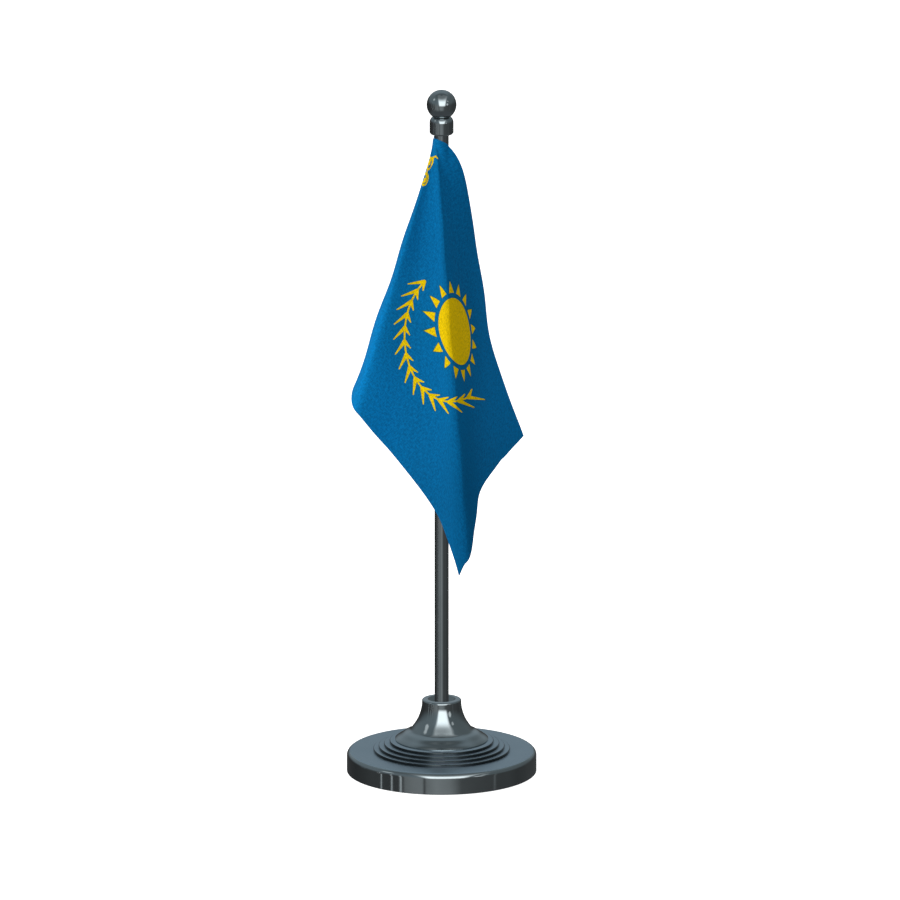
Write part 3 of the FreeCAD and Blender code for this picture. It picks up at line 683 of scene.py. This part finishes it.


# Woven polyester in the flag's blue: thread relief, painted shade between threads and mottling from the
# weave, and on the flag itself ink where the print is, with light painted into the colour: lighter toward
# both side edges and darker toward the low corner.
def clothFinish(name, printed, pitch, relief):
    material, shader = newMaterial(name)
    tree = material.node_tree
    flat = clothPlace(tree, "clothUV", flatSpan)
    weave = addGroup(tree, weaveGroup, {"Pitch": pitch}, {"Flat": flat})
    colour = printSheet["blue"]
    mottle = calc(tree, "MULTIPLY_ADD", ease(tree, weave["Slub"], *clothLook["mottleEase"]),
                  clothLook["mottleGain"], clothLook["mottleBase"])
    if printed:
        front = clothPlace(tree, "frontUV", frontSpan)
        ink = addGroup(tree, printGroup, wires={"Flat": flat, "Front": front})["Ink"]
        edged = mixColour(tree, ease(tree, ink, *printSheet["edgeInk"]), colour, printSheet["edge"])
        colour = mixColour(tree, ease(tree, ink, *printSheet["fullInk"]), edged, printSheet["yellow"])
        place = addNode(tree, "ShaderNodeSeparateXYZ", wires={"Vector": front}).outputs
        # painted light: the mottle is multiplied by light painted in, lighter at both side edges, darker low
        light = 1.0
        for axis, start, end, gain in clothLook["paintedLight"]:
            light = calc(tree, "MULTIPLY_ADD", ease(tree, place[axis], start, end), gain, light)
        mottle = calc(tree, "MULTIPLY", mottle, light)
    # painted shade: the colour is darker between threads than on their backs
    threads = calc(tree, "MULTIPLY_ADD", weave["Shade"], clothLook["threadShadeGain"], clothLook["threadShadeBase"])
    tone = calc(tree, "MULTIPLY", mottle, threads)
    grey = addNode(tree, "ShaderNodeCombineColor",
                   wires={"Red": tone, "Green": tone, "Blue": tone}).outputs[0]
    tree.links.new(mixColour(tree, 1.0, colour, grey, "MULTIPLY"), shader.inputs["Base Color"])
    rough = calc(tree, "MULTIPLY_ADD", weave["Slub"], clothLook["roughGain"], clothLook["roughBase"])
    tree.links.new(rough, shader.inputs["Roughness"])
    shader.inputs["Specular IOR Level"].default_value = clothLook["specular"]
    height = calc(tree, "MULTIPLY_ADD", weave["Slub"], clothLook["slubHeight"],
                  calc(tree, "MULTIPLY", weave["Height"], clothLook["threadHeight"]))
    bump = addNode(tree, "ShaderNodeBump", values={"Strength": relief, "Distance": clothLook["bumpDepth"]},
                   wires={"Height": height})
    tree.links.new(bump.outputs[0], shader.inputs["Normal"])
    return material


# thread pitch in mm and strength of the relief
flagMaterial = clothFinish("printedCloth", True, 0.42, 0.55)
sleeveMaterial = clothFinish("sleeveCloth", False, 0.42, 0.55)
ribbonMaterial = clothFinish("ribbonCloth", False, 0.6, 0.8)
print("cloth finishes ready")


# A point of the cloth by its reach from the top corner and its angle from the hoist: along its ray from the
# sleeve's seam, after clinging to the pole at the hoist and passing round its front at the top edge.
def clothPoint(reach, angle):
    ray = np.stack([np.interp(angle, foldAngles, foldDirections[:, k]) for k in range(3)], -1)
    ray /= np.linalg.norm(ray, axis=-1, keepdims=True)
    over = smooth(angle, *cloth["wrapStart"])
    held = smooth(angle, *cloth["clingStart"]) * (1.0 - smooth(angle, *cloth["clingEnd"]))
    cling = cloth["clingLength"] * held + cloth["wrapLength"] * over
    drop = cloth["clingLength"] * held + cloth["wrapDrop"] * over
    bent = np.hypot(reach, cling)
    share = reach / np.maximum(bent, tiny)
    lapStart, lapEnd = cloth["lapStart"]
    lap = cloth["foldLap"] * smooth(angle, foldTurn + lapStart, foldTurn + lapEnd)
    sweep = cloth["wrapAngle"] - cloth["seamAngle"] - lap
    turn = np.radians(cloth["seamAngle"] + lap + sweep * smooth(angle, *cloth["sweepStart"]) * share)
    start = np.stack([cloth["startRadius"] * np.sin(turn), -cloth["startRadius"] * np.cos(turn),
                      flagTop - drop * share], -1)
    hump = reach / cloth["edgeSwellAt"]
    fromDip = (reach - cloth["edgeDipAt"]) / cloth["edgeDipWidth"]
    swell = smooth(angle, *cloth["swellStart"]) * (cloth["edgeSwell"] * hump * np.exp(1.0 - hump)
                                                   - cloth["edgeDip"] * np.exp(-fromDip ** 2))
    point = start + (bent - cling)[..., None] * ray
    point[..., 0] += swell
    away = np.hypot(point[..., 0], point[..., 1])
    nearest = cloth["startRadius"] + cloth["topGap"] * over
    push = np.where(away < nearest, nearest / np.maximum(away, tiny), 1.0)
    point[..., :2] *= push[..., None]
    return point


# Unit normals of a grid of points, from the cross product of its two directions.
def gridNormals(points):
    first = np.gradient(points, axis=0)
    second = np.gradient(points, axis=1)
    normal = np.cross(first, second)
    return normal / np.maximum(np.linalg.norm(normal, axis=-1, keepdims=True), tiny)


def addMesh(name, points, faces, uv, material):
    mesh = bpy.data.meshes.new(name)
    mesh.vertices.add(len(points))
    mesh.vertices.foreach_set("co", np.ascontiguousarray(points, dtype=np.float32).ravel())
    mesh.loops.add(faces.size)
    mesh.loops.foreach_set("vertex_index", faces.astype(np.int32).ravel())
    mesh.polygons.add(len(faces))
    mesh.polygons.foreach_set("loop_start", np.arange(0, faces.size, faces.shape[1], dtype=np.int32))
    if uv is not None:
        layer = mesh.uv_layers.new(name="clothUV")
        layer.uv.foreach_set("vector", uv[faces.ravel()].astype(np.float32).ravel())
    mesh.update(calc_edges=True)
    mesh.validate()
    mesh.shade_smooth()
    mesh.materials.append(material)
    piece = bpy.data.objects.new(name, mesh)
    scene.collection.objects.link(piece)
    return piece


# A closed thin sheet: the grid moved out along its normals to one side and to the other, joined by a rim.
# With shading normals it also gets the front UV map, x and height as seen from in front.
def closedSheet(name, points, half, uv, material, shadeNormal=None):
    rows, columns = points.shape[:2]
    normal = gridNormals(points)
    sides = np.concatenate([(points + normal * half[..., None]).reshape(-1, 3),
                            (points - normal * half[..., None]).reshape(-1, 3)]) * mm
    index = np.arange(rows * columns).reshape(rows, columns)
    quads = np.stack([index[:-1, :-1], index[1:, :-1], index[1:, 1:], index[:-1, 1:]], -1).reshape(-1, 4)
    rim = np.concatenate([index[0, :], index[1:, -1], index[-1, -2::-1], index[-2:0:-1, 0]])
    nextRim = np.roll(rim, -1)
    count = rows * columns
    edge = np.stack([rim, nextRim, nextRim + count, rim + count], -1)
    faces = np.concatenate([quads, quads[:, ::-1] + count, edge])
    piece = addMesh(name, sides, faces, np.concatenate([uv.reshape(-1, 2)] * 2), material)
    if shadeNormal is not None:
        height = points[..., 2] + frontTilt * points[..., 1]
        front = np.stack([points[..., 0], height], -1).reshape(-1, 2) / frontSpan
        layer = piece.data.uv_layers.new(name="frontUV")
        layer.uv.foreach_set("vector", np.concatenate([front] * 2)[faces.ravel()].astype(np.float32).ravel())
        outer = shadeNormal.reshape(-1, 3)
        piece.data.normals_split_custom_set_from_vertices(np.concatenate([outer, -outer]).tolist())
    return piece


# A closed ring of any section: points by turn round the axis and by place along the section's outline.
def closedRing(name, points, uv, material):
    turns, outline = points.shape[:2]
    index = np.arange(turns * outline).reshape(turns, outline)
    across = np.roll(index, -1, axis=1)
    onward = np.roll(index, -1, axis=0)
    faces = np.stack([index, onward, np.roll(onward, -1, axis=1), across], -1).reshape(-1, 4)
    flatUv = None if uv is None else uv.reshape(-1, 2)
    return addMesh(name, points.reshape(-1, 3) * mm, faces, flatUv, material)


# The cloth's normals as a mean across the folds, each neighbour weighted by the width it shows in front and
# by a bell curve of its distance sideways, so the creases read as soft rolls.
def softNormals(points, angle, reach):
    plain = gridNormals(points)
    place = points[..., 0]
    width = np.abs(np.gradient(place, axis=1)) * (angle > foldTurn)[None, :]
    bell = (cloth["shadeSoftness"] * (reach + cloth["shadeReach"]))[:, :, None]
    gap = (place[:, :, None] - place[:, None, :]) / bell
    weight = np.exp(-0.5 * gap ** 2) * width[:, None, :]
    mean = (weight @ plain) / weight.sum(-1, keepdims=True)
    shadeStart, shadeFull = cloth["shadeStart"]
    front = smooth(angle, foldTurn + shadeStart, foldTurn + shadeFull)[None, :, None]
    soft = plain + (mean - plain) * front
    return soft / np.linalg.norm(soft, axis=-1, keepdims=True)


# The flag: rays from the top corner to the far edges, closer rows along the hem, which is a little thicker.
def makeFlag(cloth):
    corner = math.degrees(math.atan2(cloth["fly"], cloth["hoist"]))
    early = int(cloth["rays"] * corner / 90.0)
    late = np.linspace(corner, 90, cloth["rays"] - early + 1)[1:]
    angle = np.concatenate([np.linspace(0, corner, early), late])
    lean = np.radians(angle)
    border = np.minimum(cloth["hoist"] / np.maximum(np.cos(lean), tiny),
                        cloth["fly"] / np.maximum(np.sin(lean), tiny))
    hem = cloth["hem"] / cloth["hoist"]
    inner = np.linspace(cloth["firstRow"], 1.0 - cloth["hemLead"] * hem, cloth["rows"])
    share = np.concatenate([inner, 1.0 - hem * np.array(cloth["hemRows"])])
    reach = share[:, None] * border[None, :]
    points = clothPoint(reach, np.broadcast_to(angle[None, :], reach.shape))
    across = reach * np.sin(lean)[None, :]
    down = reach * np.cos(lean)[None, :]
    calm = smooth(reach, *cloth["calmEnd"])
    ripple = sum(height * np.sin(across / wide + down / tall + phase)
                 for height, wide, tall, phase in cloth["ripples"])
    points += gridNormals(points) * (calm * ripple)[..., None]
    farHem = smooth(share, *(1.0 - hem * np.array(cloth["hemRise"])))[:, None]
    topHem = 1.0 - smooth(down, *(cloth["hem"] * np.array(cloth["topHemFall"])))
    half = 0.5 * cloth["thickness"] + cloth["hemExtra"] * np.maximum(farHem, topHem)
    half = np.where(reach < cloth["plainReach"], 0.5 * cloth["thickness"], half)
    return closedSheet("flagCloth", points, half, np.stack([across, down], -1) / flatSpan, flagMaterial,
                       softNormals(points, angle, reach))


flag = makeFlag(cloth)
print("flag:", len(flag.data.polygons), "faces")
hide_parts("flag_cloth")
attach(flag, "flag")

# The sleeve round the pole: its slanted mouth drops by the slant, and the pucker is its wall's ripple.
sleeve = {"inner": 4.14, "thickness": 0.26, "slant": 6.5, "pucker": 0.06, "puckerLength": 2.9,
          "puckerTwist": 3.0, "puckerWaves": 2.0, "puckerPhase": 0.7, "puckerShare": 0.9,
          "columns": 96, "rows": 90, "uvRadius": 4.3}


# The sleeve is a tube that follows the pole, and its section runs up the outside and down the inside.
def makeSleeve(sleeve):
    low, high = (corner.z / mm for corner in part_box("hoist_sleeve"))
    rows = sleeve["rows"]
    turn = np.linspace(0, 2 * math.pi, sleeve["columns"], endpoint=False)[:, None]
    up = np.concatenate([np.linspace(0.0, 1.0, rows), np.linspace(1.0, 0.0, rows)])[None, :]
    outside = np.concatenate([np.ones(rows), np.zeros(rows)])[None, :]
    top = high - 0.5 * sleeve["slant"] * (1.0 - np.cos(turn - math.radians(cloth["seamAngle"])))
    height = low + (top - low) * up
    wall = sleeve["inner"] + sleeve["thickness"] * outside
    ripple = (sleeve["pucker"] * np.sin(height / sleeve["puckerLength"] + sleeve["puckerTwist"] * turn)
              * np.cos(sleeve["puckerWaves"] * turn + sleeve["puckerPhase"]))
    radius = wall + ripple * sleeve["puckerShare"]
    points = np.stack([radius * np.sin(turn), -radius * np.cos(turn), height], -1)
    around = np.broadcast_to(turn * sleeve["uvRadius"], radius.shape)
    return closedRing("hoistSleeve", points, np.stack([around, height], -1) / flatSpan, sleeveMaterial)


hoistSleeve = makeSleeve(sleeve)
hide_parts("hoist_sleeve")
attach(hoistSleeve, "flag")

# The ribbon tab up into the collar: its width and seat are angles round the pole.
tab = {"middle": 4.74, "thickness": 0.192, "width": 42.0, "seat": 236.0, "margin": 0.1,
       "ribHeight": 0.02, "ribsPerTurn": 56.0, "columns": 41, "rows": 33, "uvRadius": 4.7}


# The tab is a short ribbon bent round the pole, with faint ribs down it.
def makeTab(tab):
    low, high = (corner.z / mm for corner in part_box("hanging_tab"))
    spread = math.radians(tab["width"]) * np.linspace(-0.5, 0.5, tab["columns"])[:, None]
    height = np.linspace(low + tab["margin"], high - tab["margin"], tab["rows"])[None, :]
    turn, radius, height = np.broadcast_arrays(
        math.radians(tab["seat"]) + spread,
        tab["middle"] + tab["ribHeight"] * np.cos(spread * tab["ribsPerTurn"]), height)
    points = np.stack([radius * np.cos(turn), -radius * np.sin(turn), height], -1)
    half = np.full(height.shape, 0.5 * tab["thickness"])
    uv = np.stack([turn * tab["uvRadius"], height], -1) / flatSpan
    return closedSheet("hangingTab", points, half, uv, ribbonMaterial)


hangingTab = makeTab(tab)
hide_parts("hanging_tab")
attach(hangingTab, "flag")
# these stay out of the polished pieces' reflections
for piece in (flag, hoistSleeve, hangingTab, cadNodes["neck_flare"], cadNodes["pole_tube"]):
    piece.visible_glossy = False
print("sleeve and tab ready")

# The foam pad under the foot: a thin disc with a softly crushed edge.
pad = {"edge": 0.5, "edgeRun": 2.0, "edgeSteps": 13, "hole": 0.4, "inner": 8.0, "flatSteps": 6,
       "columns": 128}


def makePad(pad):
    low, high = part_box("base_pad")
    radius, bottom, top = high.x / mm, low.z / mm, high.z / mm
    turn = np.linspace(0, 2 * math.pi, pad["columns"], endpoint=False)[:, None]
    bend = np.linspace(-0.5 * math.pi, 0.5 * math.pi, pad["edgeSteps"])
    middle, half = 0.5 * (bottom + top), 0.5 * (top - bottom)
    flatEnd = radius - pad["edge"] - pad["edgeRun"]
    face = np.concatenate([[pad["hole"]], np.linspace(pad["inner"], flatEnd, pad["flatSteps"])])
    out = np.concatenate([face, radius - pad["edge"] * (1.0 - np.cos(bend)), face[::-1]])
    rise = np.concatenate([np.full(len(face), bottom), middle + half * np.sin(bend), np.full(len(face), top)])
    out, rise = np.broadcast_arrays(out, rise + 0.0 * turn)
    points = np.stack([out * np.sin(turn), -out * np.cos(turn), rise], -1)
    return closedRing("footPad", points, None, slotMaterials["foam_pad"])


footPad = makePad(pad)
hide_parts("base_pad")
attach(footPad, "base")
print("foot pad ready")

# The finishes on the CAD nodes, by their slots; the cloth's nodes take the sleeve's.
slots = {entry["node"]: entry["material_slot"] for entry in frame["record"]["subparts"]}
for nodeName, node in cadNodes.items():
    chosen = slotMaterials.get(slots[nodeName], sleeveMaterial)
    for place in range(len(node.material_slots)):
        node.material_slots[place].material = chosen
print("finishes on", len(cadNodes), "CAD nodes")
